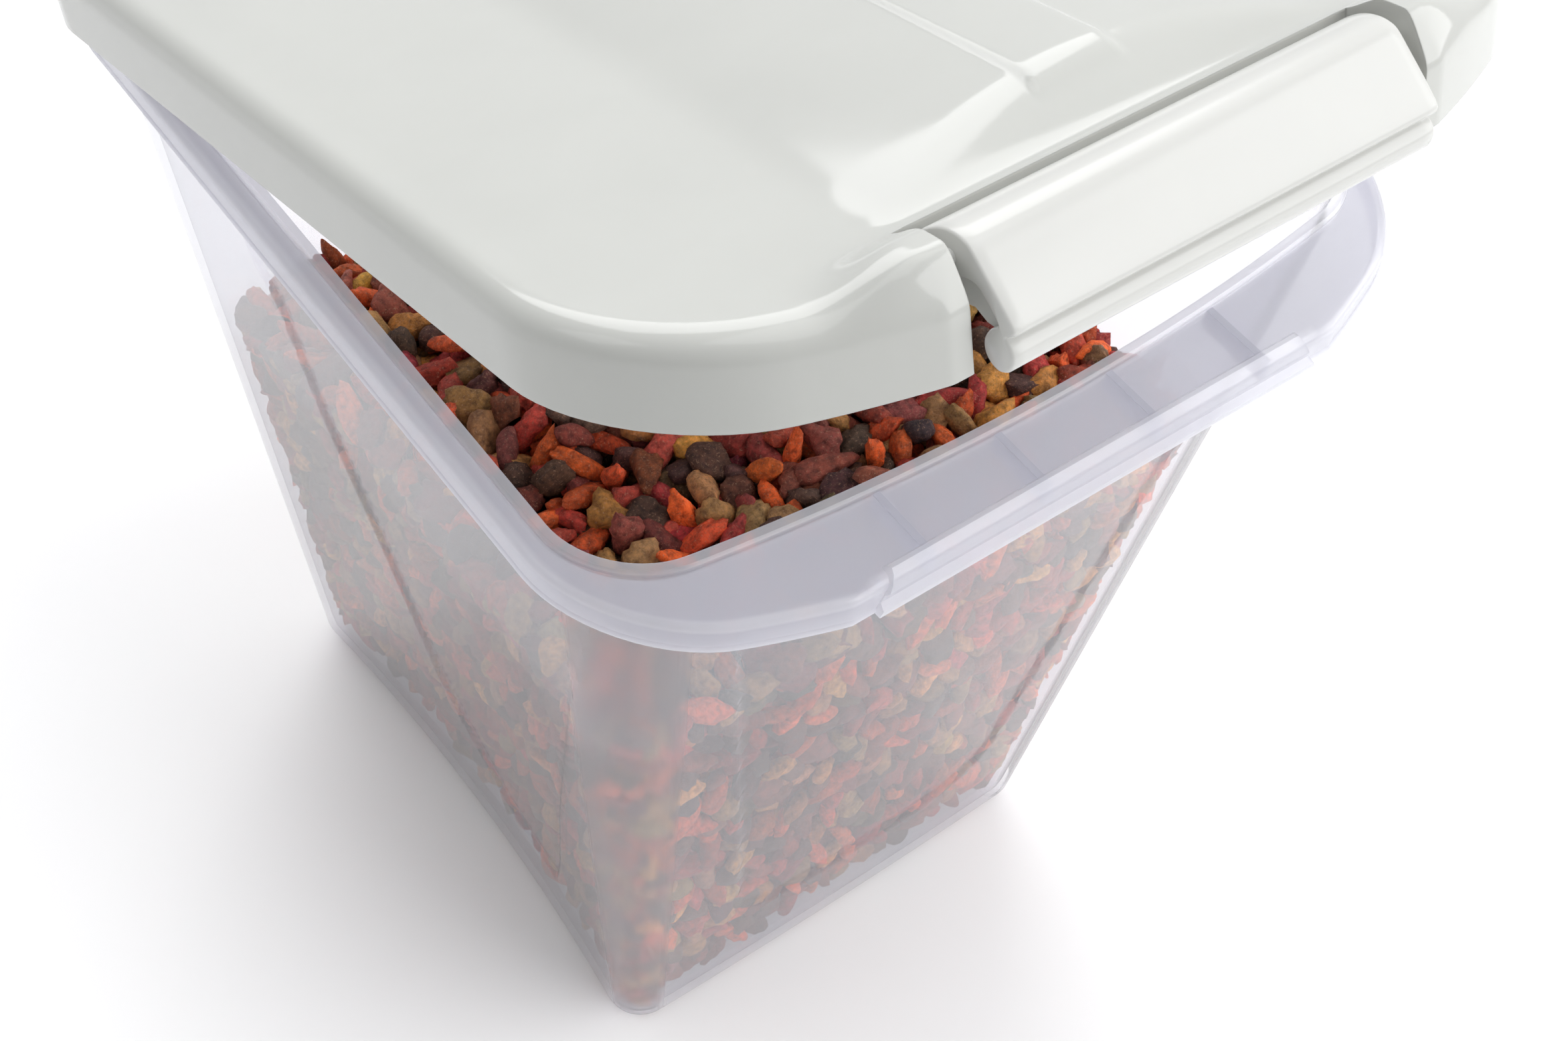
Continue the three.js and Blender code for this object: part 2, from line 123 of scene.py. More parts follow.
def inset(o, distance):
    """The outline moved inwards by a distance."""
    return dict(
        o,
        half=o["half"] - distance,
        front=o["front"] + distance,
        back=o["back"] - distance,
        r_front=max(o["r_front"] - distance, 1),
        r_back=max(o["r_back"] - distance, 1),
    )


def ring(o, corner_steps=14, side_steps=120, end_steps=90):
    """Points (x, y) of a rounded rectangle whose front bows out and whose sides draw in."""
    corners = [
        (o["half"] - o["r_front"], o["front"] + o["r_front"], o["r_front"], -0.5),
        (o["half"] - o["r_back"], o["back"] - o["r_back"], o["r_back"], 0.0),
        (-o["half"] + o["r_back"], o["back"] - o["r_back"], o["r_back"], 0.5),
        (-o["half"] + o["r_front"], o["front"] + o["r_front"], o["r_front"], 1.0),
    ]
    arcs = []
    for x, y, r, start in corners:
        angle = np.pi * (start + 0.5 * np.linspace(0, 1, corner_steps + 1))
        arcs.append(np.stack([x + r * np.cos(angle), y + r * np.sin(angle)], 1))
    points = []
    for i, arc in enumerate(arcs):
        after = arcs[(i + 1) % 4][0]
        steps = side_steps if i % 2 == 0 else end_steps
        t = np.arange(1, steps)[:, None] / steps
        points += [arc, arc[-1] + (after - arc[-1]) * t]
    p = np.concatenate(points)
    middle, reach = (o["front"] + o["back"]) / 2, (o["back"] - o["front"]) / 2
    bow = np.where(p[:, 1] < 0, o["bow"] * (1 - (p[:, 0] / o["half"]) ** 2), 0)
    sag = o["sag"] * (1 - ((p[:, 1] - middle) / reach) ** 2) * p[:, 0] / o["half"]
    return np.stack([p[:, 0] - sag, p[:, 1] - bow], 1)


def at_height(points, z):
    """Points (x, y) lifted to a height, or to one height each."""
    return np.column_stack([points, np.broadcast_to(z, len(points))])


def smooth(t):
    """Soft step from 0 to 1."""
    t = np.clip(t, 0, 1)
    return t * t * (3 - 2 * t)


def quarter(radius, steps):
    """Steps of a quarter round: how far in and how far up."""
    angle = 0.5 * np.pi * np.arange(steps + 1) / steps
    return list(zip(radius * (1 - np.cos(angle)), radius * np.sin(angle)))


def new_object(name, verts, faces, sharp_deg=35):
    """Mesh object from millimetres, smooth but for edges sharper than an angle."""
    mesh = bpy.data.meshes.new(name)
    mesh.from_pydata((np.asarray(verts, float) * MM).tolist(), [], faces)
    mesh.validate()
    mesh.shade_smooth()
    mesh.set_sharp_from_angle(angle=math.radians(sharp_deg))
    obj = bpy.data.objects.new(name, mesh)
    bpy.context.scene.collection.objects.link(obj)
    return obj


def loft(rings):
    """Vertices and faces through rings of equal point count, capped at both ends."""
    rings = np.asarray(rings, float)
    levels, count = rings.shape[:2]
    index = np.arange(levels * count).reshape(levels, count)
    low, high = index[:-1], index[1:]
    quads = np.stack([low, np.roll(low, -1, 1), np.roll(high, -1, 1), high], 2).reshape(-1, 4)
    faces = quads.tolist()
    faces += [index[0][::-1].tolist(), index[-1].tolist()]
    return rings.reshape(-1, 3), faces


def along_x(profile, stations):
    """Loft of a counter-clockwise YZ profile: stations are (x, inset) from low to high x."""
    p = np.asarray(profile, float)
    edge = np.roll(p, -1, 0) - np.roll(p, 1, 0)
    normal = np.stack([edge[:, 1], -edge[:, 0]], 1)
    normal /= np.linalg.norm(normal, axis=1)[:, None]
    rings = []
    for x, d in stations:
        q = p - normal * d
        rings.append(np.column_stack([np.full(len(q), x), q]))
    return loft(rings)


def box(lo, hi):
    """Box between two corners."""
    x0, y0, z0 = lo
    x1, y1, z1 = hi
    return along_x([(y0, z0), (y1, z0), (y1, z1), (y0, z1)], [(x0, 0), (x1, 0)])


def arc(cy, cz, radius, start_deg, end_deg, steps=16):
    """Points (y, z) on a circle."""
    angle = np.radians(np.linspace(start_deg, end_deg, steps + 1))
    return [(cy + radius * math.cos(a), cz + radius * math.sin(a)) for a in angle]


def apply_modifiers(obj):
    """Replace the mesh of an object by what its modifiers make of it."""
    made = bpy.data.meshes.new_from_object(
        obj.evaluated_get(bpy.context.evaluated_depsgraph_get())
    )
    obj.modifiers.clear()
    obj.data = made


def boolean(obj, shapes, operation):
    """Cut shapes from an object, or join them to it. Each shape is (vertices, faces)."""
    tools = []
    for shape in shapes:
        tool = new_object("tool", *shape)
        modifier = obj.modifiers.new("boolean", "BOOLEAN")
        modifier.operation = operation
        modifier.solver = "MANIFOLD"
        modifier.object = tool
        tools.append(tool)
    bpy.context.view_layer.update()
    apply_modifiers(obj)
    for tool in tools:
        bpy.data.objects.remove(tool)
    return obj


def finish_mesh(obj, sharp_deg=35):
    """Shade smooth but for edges sharper than an angle."""
    obj.data.shade_smooth()
    obj.data.set_sharp_from_angle(angle=math.radians(sharp_deg))


def swing(obj, angle=AJAR, pivot=HINGE):
    """Turn a mesh drawn for the closed lid to where it stands at rest."""
    centre = Vector(pivot) * MM
    turn = Matrix.Translation(centre) @ Matrix.Rotation(-angle, 4, "X") @ Matrix.Translation(-centre)
    obj.data.transform(turn)
    return obj


def join(objects):
    """Join objects into the first of them."""
    with bpy.context.temp_override(active_object=objects[0], selected_editable_objects=objects):
        bpy.ops.object.join()
    return objects[0]


def inside_distance(points, polygon):
    """Distance from each 2-D point to a polygon's edge, positive inside."""
    p, a = np.asarray(points, float), np.asarray(polygon, float)
    b = np.roll(a, -1, 0)
    edge = b - a
    away = p[:, None] - a[None]
    t = np.clip((away * edge).sum(2) / (edge**2).sum(1), 0, 1)
    distance = np.linalg.norm(away - t[..., None] * edge, axis=2).min(1)
    above = (a[:, 1] > p[:, None, 1]) != (b[:, 1] > p[:, None, 1])
    rise = np.where(edge[:, 1] == 0, 1e-9, edge[:, 1])
    crossing = a[:, 0] + (p[:, None, 1] - a[:, 1]) / rise * edge[:, 0]
    inside = (above & (p[:, None, 0] < crossing)).sum(1) % 2 == 1
    return np.where(inside, distance, -distance)


# ---- tub -------------------------------------------------------------------------------------

SIDE_PANEL = [
    (-114, 277), (-107, 249), (-93, 191), (-82, 148), (-73, 111), (-64, 66), (-58, 46), (-48, 46),
    (-30, 52), (-13, 73), (-3, 90), (10, 145), (23, 191), (28, 229), (35, 240), (42, 277),
]
PANEL_CORNER = arc(24, 72, 24, -90, 0, 9)
FRONT_RIGHT = PANEL_CORNER + [(52, 100), (63, 169), (74, 240), (79, 277)]
FRONT_PANEL = FRONT_RIGHT + [(-x, z) for x, z in reversed(FRONT_RIGHT)]
PANEL_DEPTH = 1.1
PANEL_LEDGE = 1.6


def wall(z):
    """Outline of the outside of the tub wall at a height."""
    return mix(FOOT, inset(MOUTH, -WALL), z / FLANGE_TOP)


def wall_ring(distance, z):
    """Ring of the wall, with the side and front panels sunk into it."""
    p = ring(inset(wall(z), distance))
    side = (np.abs(p[:, 0]) > 60) & (p[:, 1] > -115) & (p[:, 1] < 60)
    front = (np.abs(p[:, 0]) < 85) & (p[:, 1] < -80)
    for mask, column, outline in ((side, 1, SIDE_PANEL), (front, 0, FRONT_PANEL)):
        flat = np.column_stack([p[mask, column], np.full(mask.sum(), z)])
        depth = PANEL_DEPTH * smooth(inside_distance(flat, outline) / PANEL_LEDGE + 0.5)
        if column:
            p[mask, 0] -= np.sign(p[mask, 0]) * depth
        else:
            p[mask, 1] += depth
    return at_height(p, z)


def rim_ring(distance, z):
    """Ring of the flange, cut straight behind the catch rail."""
    p = ring(inset(RIM, distance))
    p[:, 1] = np.maximum(p[:, 1], CATCH_Y + 2 + distance)
    return at_height(p, z)


def catch_rail():
    """Hooked rail that the latch snaps under, shorter at its top than at its foot."""
    profile = [
        (-144.6, 281.2), (-145.8, 282), (-146.8, 283.3), (-148, 283.6), (-149.2, 282.9),
        (-150.4, 281.2), (-150.9, 279.4), (-150, 278.4), (-150, 276.6), (CATCH_Y, 275.6),
        (CATCH_Y, 274), (-149.4, 274), (-149.2, 275.8), (-146.5, 279),
    ]
    verts, faces = along_x(profile, [(-1, 0), (1, 0)])
    length = CATCH_HALF - 5.5 * np.clip((verts[:, 2] - 274) / 11, 0, 1)
    verts[:, 0] *= length
    return verts, faces


def chamfered(x, half, chamfer):
    """Stations of a plate across X with a small chamfer round both of its faces."""
    flat = half - chamfer
    return [(x - half, chamfer), (x - flat, 0), (x + flat, 0), (x + half, chamfer)]


def hinge_ear(x):
    """Ear on the back of the rim that holds a hinge pin."""
    eye = arc(HINGE[1], HINGE[2], EYE_RADIUS, -100, 96)
    outline = [(109.4, 274.4), *eye, (109.4, 280.6)]
    return along_x(outline, chamfered(x, EAR_HALF, 0.3))


def front_of_wall(x, z):
    """How far forward the wall reaches at a place across the front."""
    o = wall(z)
    return o["front"] - o["bow"] * (1 - (x / o["half"]) ** 2)


def rib(x):
    """Shallow rib through the front flange, from the wall to the catch rail, just proud on top."""
    front, back = -149, front_of_wall(x, 279) - 1.2
    top = FLANGE_TOP + RIB_PROUD
    outline = [(front, RIB_BOTTOM), (back, RIB_BOTTOM), (back, top), (front, top)]
    return along_x(outline, [(x - RIB_HALF, 0), (x + RIB_HALF, 0)])


def points_of(obj):
    """Vertices of an object in millimetres."""
    p = np.empty(len(obj.data.vertices) * 3)
    obj.data.vertices.foreach_get("co", p)
    return p.reshape(-1, 3) / MM


def add_attribute(obj, name, values):
    """Give an object's points one number each, for its material."""
    layer = obj.data.attributes.new(name, "FLOAT", "POINT")
    layer.data.foreach_set("value", np.asarray(values, np.float32))


def mark_thickness(tub):
    """Point attributes: "thick", how milky the rim and rail are, and "bead", their edges, which get a
    painted highlight.
    """
    p = points_of(tub)
    near_edge = outline_distance(p, RIM)
    skirt = smooth((275.6 - p[:, 2]) / 1.2) * (near_edge < 2.6) * (p[:, 2] > RIM_LOW)
    lip = smooth((p[:, 2] - FLANGE_TOP - 0.3) / 0.8)
    edge = smooth((2.4 - near_edge) / 1.2) * smooth((p[:, 2] - 279.4) / 1)
    beside = np.abs(p[:, 0]) < CATCH_HALF + 0.5
    rail = (p[:, 1] < -146.4) * beside * smooth((p[:, 2] - RIM_LOW) / 1)
    # Painted highlight: "bead" marks the skirt, lip, outer edge and rail, where the veil is whitened
    # to stand in for light along the edges.
    bead = np.maximum(np.maximum(0.8 * skirt, 0.6 * lip), np.maximum(0.7 * edge, 0.35 * rail))
    thick = np.maximum(0.68 * np.maximum(on_flange(p), rail), 0.9 * bead)
    add_attribute(tub, "thick", thick)
    add_attribute(tub, "bead", bead)


def mark_haze(tub):
    """Point attribute "haze": where sight of the inside is blurred, on corners and on the flange."""
    p = points_of(tub)
    o = wall(p[:, 2])
    across = np.abs(p[:, 0]) - (o["half"] - o["r_front"])
    along = (o["front"] + o["r_front"] - 3) - p[:, 1]
    corner = smooth(np.minimum(across, along) / 1.5 + 0.5) * smooth((272 - p[:, 2]) / 4)
    add_attribute(tub, "haze", np.maximum(corner, 0.4 * on_flange(p)))


def on_flange(p):
    """1 on the flange and skirt outside the wall, 0 elsewhere."""
    return (outline_distance(p, inset(MOUTH, -WALL - 0.3)) < 0) * (p[:, 2] > RIM_LOW)


def outer_rings():
    """Rings of the tub's outside, from under its foot to the top of the flange."""
    rings = [at_height(ring(inset(wall(0), FOOT_RADIUS + 6)), 0.6)]
    rings += [at_height(ring(inset(wall(0), FOOT_RADIUS + 3)), 0)]
    for inwards, up in reversed(quarter(FOOT_RADIUS, 6)):
        z = FOOT_RADIUS - up
        rings.append(at_height(ring(inset(wall(z), inwards)), z))
    under_flange = FLANGE_TOP - FLANGE
    rings += [wall_ring(0, z) for z in np.linspace(FOOT_RADIUS, under_flange, 112)[1:]]
    start, end = rings[-1], rim_ring(SKIRT, under_flange)
    rings += [start + (end - start) * t for t in (0.08, 0.5, 0.92)]
    skirt = [
        (SKIRT, under_flange), (SKIRT, 275.4), (SKIRT, 274.2), (1.4, 273.8), (0.4, 273.6),
        (-0.3, 273.8), (-0.5, 274.3), (-0.3, 274.9), (0, 275.3), (0, 276.2), (0, 278), (0, 279.4),
    ]
    rings += [rim_ring(d, z) for d, z in skirt]
    rings += [rim_ring(inwards, 279.6 + up) for inwards, up in quarter(2.4, 6)]
    return rings


def inner_rings():
    """Rings of the lip and of the tub's inside, down to the floor."""
    lip = [
        (-LIP_WIDTH - 0.4, FLANGE_TOP), (-LIP_WIDTH, FLANGE_TOP + 0.2),
        (-LIP_WIDTH + 0.1, LIP_TOP - 0.6), (-LIP_WIDTH + 0.7, LIP_TOP), (-0.8, LIP_TOP),
        (-0.2, LIP_TOP - 0.3), (0, LIP_TOP - 0.9),
    ]
    rings = [at_height(ring(inset(MOUTH, d)), z) for d, z in lip]
    rings += [wall_ring(WALL, z) for z in np.linspace(FLANGE_TOP, FOOT_RADIUS + FLOOR, 70)]
    inner_foot = FOOT_RADIUS - WALL
    for inwards, up in quarter(inner_foot, 4)[1:]:
        z = FLOOR + inner_foot - up
        rings.append(at_height(ring(inset(wall(z), WALL + inwards)), z))
    return rings


def make_tub():
    outer, inner = outer_rings(), inner_rings()
    start, end = outer[-1], inner[0]
    flange = [start + (end - start) * t for t in (0.06, 0.5, 0.94)]
    tub = new_object("tub", *loft(outer + flange + inner))
    extras = [catch_rail()]
    extras += [hinge_ear(side * PIN_X + offset) for side in (-1, 1) for offset in EAR_OFFSETS]
    boolean(tub, extras, "UNION")
    finish_mesh(tub, 30)
    mark_haze(tub)
    mark_thickness(tub)
    ribs = [new_object("rib", *rib(x)) for x in RIB_X]
    # The ribs get a faint painted highlight through "bead".
    for each in ribs:
        for name, value in (("thick", 0.7), ("bead", 0.25)):
            add_attribute(each, name, np.full(len(each.data.vertices), value))
    return join([tub] + ribs)


# ---- lid and latch, drawn with the lid shut ----------------------------------------------------


def lid_ring(distance):
    """Ring of the lid's outline, cut straight across its front."""
    p = ring(inset(LID, distance), 14, 120, 160)
    p[:, 1] = np.maximum(p[:, 1], NOTCH_FRONT + distance)
    return p


def outline_distance(p, o):
    """Distance of points inside an outline, negative outside."""
    x, y = p[:, 0], p[:, 1]
    middle, reach = (o["front"] + o["back"]) / 2, (o["back"] - o["front"]) / 2
    x = x + o["sag"] * (1 - np.clip((y - middle) / reach, -1, 1) ** 2) * x / o["half"]
    y = y + np.where(y < 0, o["bow"] * np.clip(1 - (x / o["half"]) ** 2, 0, 1), 0)
    radius = o["r_front"]
    q = np.stack([np.abs(x) - o["half"] + radius, np.abs(y - middle) - reach + radius], 1)
    return radius - np.linalg.norm(np.maximum(q, 0), axis=1) - np.minimum(q.max(1), 0)


def soft_min(a, b, blend):
    """The smaller of two values, rounded where they meet."""
    h = np.clip(0.5 + 0.5 * (b - a) / blend, 0, 1)
    return b + (a - b) * h - blend * h * (1 - h)


def lid_rise(p):
    """Height of the lid's top above its flat border: panel, crown, tongue and latch bosses."""
    x, y = p[:, 0], p[:, 1]
    sides = np.minimum(PANEL["half"] - np.abs(x), PANEL["back"] - y)
    rise = 0.3 * smooth(sides / 1.3 + 0.3) * smooth(outline_distance(p, PANEL) / 16 + 0.2)
    arch = CROWN_HEIGHT * (1 - (x / CROWN_HALF) ** 2)
    front_slope = CROWN_HEIGHT * (y - CROWN_FRONT) / CROWN_RUN
    back_slope = CROWN_HEIGHT * (CROWN_BACK - y) / CROWN_RUN
    crown = soft_min(arch, soft_min(front_slope, back_slope, 1.0), 1.4)
    rise += np.maximum(-soft_min(-crown, 0 * x, 1.1), 0)
    tongue = np.minimum(TONGUE_HALF - np.abs(x), y - TONGUE_FRONT)
    rise += TONGUE_HEIGHT * smooth(tongue / 1.6) * smooth((TONGUE_BACK - y) / 2)
    across = 1 - smooth((np.abs(x) - 62) / 22)
    along = smooth((-144.5 - y) / 13) * smooth((y + 169) / 7.5)
    rise += BOSS_HEIGHT * across * along
    return rise


def lid_surface():
    """Rings of the outside of the lid from its lower edge to the middle of its top."""
    rings = [at_height(lid_ring(0.35), LID_BOTTOM), at_height(lid_ring(0), LID_BOTTOM + 0.4)]
    rings += [at_height(lid_ring(0), z) for z in (271, 275, 279)]
    for inwards, up in quarter(LID_EDGE, 10):
        p = lid_ring(inwards)
        rings.append(at_height(p, LID_TOP - LID_EDGE + up + lid_rise(p) * up / LID_EDGE))
    for distance in np.arange(LID_EDGE + 0.8, 20, 0.8):
        p = lid_ring(distance)
        rings.append(at_height(p, LID_TOP + lid_rise(p)))
    last = lid_ring(20)
    for t in np.linspace(1, 0.01, 80)[1:]:
        p = LID_MIDDLE + (last - LID_MIDDLE) * t
        rings.append(at_height(p, LID_TOP + lid_rise(p)))
    return rings


def lid_hollow():
    """Rings of the inside, from the lower edge to the middle."""
    rings = [at_height(lid_ring(SKIRT - 0.35), LID_BOTTOM)]
    rings.append(at_height(lid_ring(SKIRT), LID_BOTTOM + 0.4))
    edge = LID_EDGE - SKIRT
    for inwards, up in quarter(edge, 4):
        p = lid_ring(SKIRT + inwards)
        z = LID_TOP - SKIRT - edge + up
        rings.append(at_height(p, z + lid_rise(p) * up / edge))
    last = lid_ring(LID_EDGE)
    for t in np.linspace(1, 0.02, 26)[1:]:
        p = LID_MIDDLE + (last - LID_MIDDLE) * t
        rings.append(at_height(p, LID_TOP - LID_THICKNESS + lid_rise(p)))
    return rings


def notch_side():
    """YZ profile of the walls that close the lid's shell on both sides of the notch."""
    y = np.linspace(-167.7, -145.2, 30)
    inwards = np.clip(y - NOTCH_FRONT, 0, LID_EDGE)
    up = np.sqrt(LID_EDGE**2 - (LID_EDGE - inwards) ** 2)
    rise = lid_rise(np.column_stack([np.full(30, NOTCH_HALF + 1), y]))
    top = LID_TOP - LID_EDGE + up + rise * up / LID_EDGE - 0.7
    outline = [(-167.7, 269.6), (-152.4, 269.6), (-152.4, 285), (-145.2, 285)]
    return outline + list(zip(y[::-1], top[::-1]))


def lid_cutters():
    """Shapes taken out of the lid: the notch, the low back edge and slots for the hinge ears."""
    cutters = [box((-NOTCH_HALF, -200, 240), (NOTCH_HALF, NOTCH_BACK, 320))]
    cutters.append(box((-130, 100, 250), (130, 130, 271.5)))
    for side in (-1, 1):
        for offset in EAR_OFFSETS:
            x = side * PIN_X + offset
            cutters.append(box((x - 2.4, 108, 260), (x + 2.4, 130, 284.2)))
    return cutters


def lid_extras():
    """Shapes joined to the lid: walls of the notch, webs beside the latch and hinge knuckles."""
    extras = []
    for side in (-1, 1):
        x0, x1 = sorted((side * (NOTCH_HALF + 0.02), side * (NOTCH_HALF + 2)))
        extras.append(along_x(notch_side(), [(x0, 0), (x1, 0)]))
        x0, x1 = sorted((side * (LATCH_HALF + 0.6), side * (NOTCH_HALF + 1)))
        extras.append(box((x0, -154, 272.5), (x1, -152.5, 288)))
        knuckle = arc(HINGE[1], HINGE[2], KNUCKLE_RADIUS, 0, 350, 35)
        extras.append(along_x(knuckle, chamfered(side * PIN_X, KNUCKLE_HALF, 0.4)))
    end = NOTCH_HALF + 0.5
    extras.append(box((-end, NOTCH_BACK, 285), (end, -145.2, 289)))
    extras.append(box((-end, -145.3, 282.7), (end, -143.4, 288.5)))
    return extras


def make_lid():
    lid = new_object("lid_shell", *loft(lid_hollow()[::-1] + lid_surface()))
    boolean(lid, lid_cutters(), "DIFFERENCE")
    boolean(lid, lid_extras(), "UNION")
    finish_mesh(lid, 30)
    return swing(lid)


def closed_spline(points, steps):
    """Closed Catmull-Rom curve through points."""
    p = np.asarray(points, float)
    before, after, beyond = np.roll(p, 1, 0), np.roll(p, -1, 0), np.roll(p, -2, 0)
    out = []
    for i in range(len(p)):
        for t in np.arange(steps) / steps:
            a, b, c, d = before[i], p[i], after[i], beyond[i]
            out.append(0.5 * (2 * b + (c - a) * t + (2 * a - 5 * b + 4 * c - d) * t * t
                              + (3 * b - a - 3 * c + d) * t**3))
    return np.array(out)


def make_latch():
    """Snap flap: a bent plate round its rod with a hooked bead, and a thin rib inside each end."""
    profile = [
        (10.3, -0.7), (8.4, 1.6), (5.2, 3.7), (2.2, 4.9), (-0.7, 5.3), (-3.2, 5), (-5.3, 4),
        (-8.4, 0.8), (-11, -2), (-13.6, -4.9), (-15.6, -7.3), (-16.3, -8.7), (-15.9, -9.9),
        (-13.9, -11.2), (-15.1, -12.5), (-15.9, -14.4), (-15.3, -16.7), (-13.9, -18.5),
        (-11.8, -19.3), (-9.8, -18.8), (-8.3, -17.4), (-7.7, -15.4), (-8.1, -13.2),
        (-9.6, -11.2), (-11.2, -10), (-11.9, -9), (-9.8, -6.2), (-7, -3.7), (-4.6, -3.3),
        (-2.4, -3.7), (0, -3.8), (2.4, -3.3), (4, -2.5), (5.6, -1.7), (7.6, -1.5), (9.6, -2.2),
    ]
    outline = closed_spline(profile, 5) + LATCH_PIVOT
    ends = [(LATCH_HALF, 0.55), (LATCH_HALF - 0.15, 0.25), (LATCH_HALF - 0.6, 0), (LATCH_HALF - 3, 0)]
    stations = [(-x, d) for x, d in ends] + [(x, d) for x, d in reversed(ends)]
    latch = new_object("latch_flap", *along_x(outline, stations), sharp_deg=40)
    rib = [
        (-12.4, -8.7), (-12, -10.6), (-9.6, -11.7), (-7.2, -11.5), (-4, -9.8), (0, -10.4),
        (4.6, -9.3), (7.6, -7), (9.4, -3.6), (8.6, -1), (5.6, -1), (0, -3), (-4.6, -2.6),
        (-7, -3),
    ]
    ribs = []
    for x in (-LATCH_HALF + 2.6, LATCH_HALF - 2.6):
        ribs.append(along_x(np.array(rib) + LATCH_PIVOT, [(x - 0.9, 0), (x + 0.9, 0)]))
    boolean(latch, ribs, "UNION")
    finish_mesh(latch, 40)
    return swing(latch)


# ---- feed --------------------------------------------------------------------------------------

FEED_SPACING = 9.0
TOP_LAYERS = ((0, 600, 9.8), (1, 460, 10.4), (2, 440, 10.8))
TOP_LAYER_DROP = 5.2
WALL_LAYERS = ((0, 1900, 3.9), (1, 1300, 8.8))
TINT_GAIN = 1.3
# Painted shade: near-black tint of the filling, standing in for the shade deep among the pieces.
PAINTED_CORE_SHADE = [0.05, 0.03, 0.025, 1]
TOP_SIZES = (0.84, 1.12)
WALL_SIZES = (0.72, 1)
TOP_DETAIL = ((16, 10),)
UNDER_DETAIL = ((12, 7),)
WALL_DETAIL = ((13, 8), (8, 5))
FRONT_FEED_END = -20
KIBBLE = [
    # share, colour (sRGB), half sizes in mm, shape
    (0.21, (160, 58, 48), (7.6, 4.7, 2.8), "bone"),
    (0.16, (126, 62, 52), (7.2, 4.6, 2.8), "lobe"),
    (0.21, (196, 84, 38), (8.2, 3.7, 2.7), "almond"),
    (0.20, (82, 58, 46), (5.8, 4.9, 3.0), "disc"),
    (0.14, (158, 116, 72), (6.4, 4.6, 2.9), "nugget"),
    (0.08, (190, 130, 62), (6.6, 4.6, 2.9), "lobe"),
]


def linear(colour):
    """Linear light from an sRGB colour of 0 to 255."""
    c = np.asarray(colour, float) / 255
    return np.where(c <= 0.04045, c / 12.92, ((c + 0.055) / 1.055) ** 2.4)


def globe(segments, rings):
    """Unit sphere as directions and faces."""
    polar = np.pi * np.arange(1, rings) / rings
    around = 2 * np.pi * np.arange(segments) / segments
    verts = [(0, 0, 1)]
    for p in polar:
        verts += [(math.sin(p) * math.cos(a), math.sin(p) * math.sin(a), math.cos(p)) for a in around]
    verts.append((0, 0, -1))
    faces = [(0, 1 + i, 1 + (i + 1) % segments) for i in range(segments)]
    for r in range(rings - 2):
        for i in range(segments):
            a, b = 1 + r * segments + i, 1 + r * segments + (i + 1) % segments
            faces.append((a, a + segments, b + segments, b))
    last, base = len(verts) - 1, 1 + (rings - 2) * segments
    faces += [(base + (i + 1) % segments, base + i, last) for i in range(segments)]
    return np.array(verts), faces


def kibble_shape(directions, kind, size):
    """One baked piece around the origin, long axis along X and flat across Z."""
    d = directions
    around = np.arctan2(d[:, 1], d[:, 0])
    flat = np.hypot(d[:, 0], d[:, 1])
    p = d * (np.array(size) * rng.uniform(0.82, 1.14, 3))
    if kind == "bone":
        p[:, 1] *= 0.62 + 0.6 * np.abs(d[:, 0]) ** 1.6
        p[:, 0] *= 1 - 0.16 * np.exp(-((d[:, 1] / 0.2) ** 2))
    elif kind == "lobe":
        p[:, :2] *= (1 + 0.2 * np.cos(3 * around + rng.uniform(0, 6)) * flat)[:, None]
    elif kind == "almond":
        p[:, 1] *= 1 - 0.62 * d[:, 0] ** 2
    elif kind == "disc":
        p[:, 2] *= 0.72 + 0.3 * flat
    elif kind == "nugget":
        p[:, :2] *= (1 + 0.1 * np.cos(2 * around + rng.uniform(0, 6)) * flat)[:, None]
    p[:, 2] = np.sign(p[:, 2]) * np.abs(p[:, 2]) ** 0.75 * size[2] ** 0.25
    rough = np.zeros(len(d))
    for scale, amount in ((2.2, 0.075), (4.6, 0.055), (9.0, 0.035)):
        wave = rng.normal(size=(3, 3)) * scale
        rough += amount * np.sin(d @ wave.T + rng.uniform(0, 6, 3)).sum(1)
    return p * (1 + rough)[:, None]


def frame_of(normal, tilt):
    """Random turn whose Z axis leans at most tilt radians away from a normal."""
    z = np.array(normal, float) + rng.normal(size=3) * math.tan(tilt) * 0.6
    z /= np.linalg.norm(z)
    x = np.cross(z, rng.normal(size=3))
    x /= np.linalg.norm(x)
    return np.stack([x, np.cross(z, x), z], 1)


def spread(points, gap, hold, steps=40):
    """Push points apart until neighbours are a gap apart; hold() keeps them in bounds."""
    p = points.copy()
    for _ in range(steps):
        away = p[:, None] - p[None]
        distance = np.sqrt((away**2).sum(2)) + np.eye(len(p)) * 1e6
        push = np.clip(gap - distance, 0, None) * 0.35
        p += (away / distance[..., None] * push[..., None]).sum(1)
        p = hold(p)
    return p


def room(p):
    """How far points are inside the tub's inner wall."""
    return outline_distance(p, inset_by(wall(p[:, 2]), WALL + PANEL_DEPTH))


def inset_by(o, distance):
    """The outline moved inwards, where each of its numbers is an array."""
    return dict(
        o, half=o["half"] - distance, front=o["front"] + distance, back=o["back"] - distance,
        r_front=o["r_front"] - distance, r_back=o["r_back"] - distance,
    )


def settle(piece, clearance=0.7):
    """Move a piece until all of it is inside the wall and above the floor."""
    for _ in range(4):
        gap = room(piece)
        worst = gap.argmin()
        if gap[worst] >= clearance:
            break
        at = piece[worst]
        probe = np.array([at, at + (0.5, 0, 0), at + (0, 0.5, 0)])
        d = room(probe)
        slope = np.array([d[1] - d[0], d[2] - d[0], 0]) / 0.5
        slope /= max(np.linalg.norm(slope), 0.3)
        piece = piece + slope * (clearance - gap[worst])
    piece[:, 2] += max(FLOOR + 0.6 - piece[:, 2].min(), 0)
    return piece


